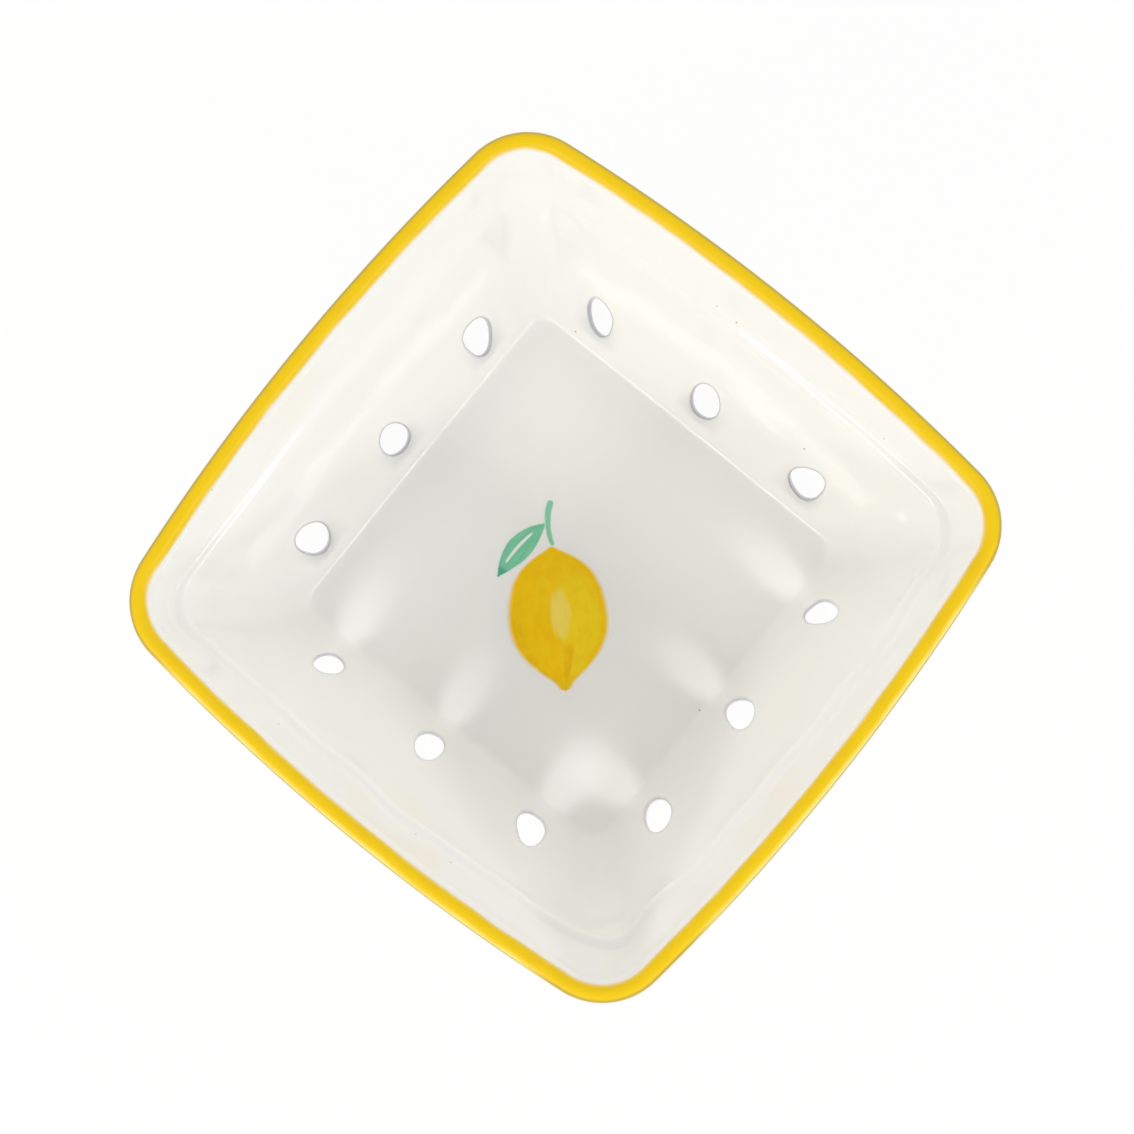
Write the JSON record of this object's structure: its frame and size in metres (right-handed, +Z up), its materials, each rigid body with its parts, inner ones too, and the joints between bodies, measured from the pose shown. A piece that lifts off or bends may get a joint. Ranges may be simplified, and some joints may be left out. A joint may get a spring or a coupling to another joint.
{
  "type": "ceramic punnet",
  "caption": "Square glazed ceramic berry punnet with bowed sides, a painted lip, drain holes at the foot of its walls, a low unglazed foot and a lemon on the floor.",
  "frame": {"origin": "centre of the plane that the foot rests on", "axes": "+Z up; X and Y square to the sides; the painted lemon points to the +X +Y corner"},
  "size_m": [0.14, 0.14, 0.054],
  "materials": {
    "white_glaze": "glossy off-white glaze with fine specks",
    "yellow_glaze": "glossy brushed yellow glaze",
    "bare_clay": "matt unglazed stoneware, ground flat",
    "lemon_enamel": "brushed yellow enamel under gloss",
    "leaf_enamel": "brushed green enamel under gloss"
  },
  "bodies": {
    "root": {"bowl_body": "white_glaze", "rim_band": "yellow_glaze", "foot_ring": "bare_clay", "motif_fruit": "lemon_enamel", "motif_stem": "leaf_enamel", "motif_leaf": "leaf_enamel"}
  },
  "joints": []
}
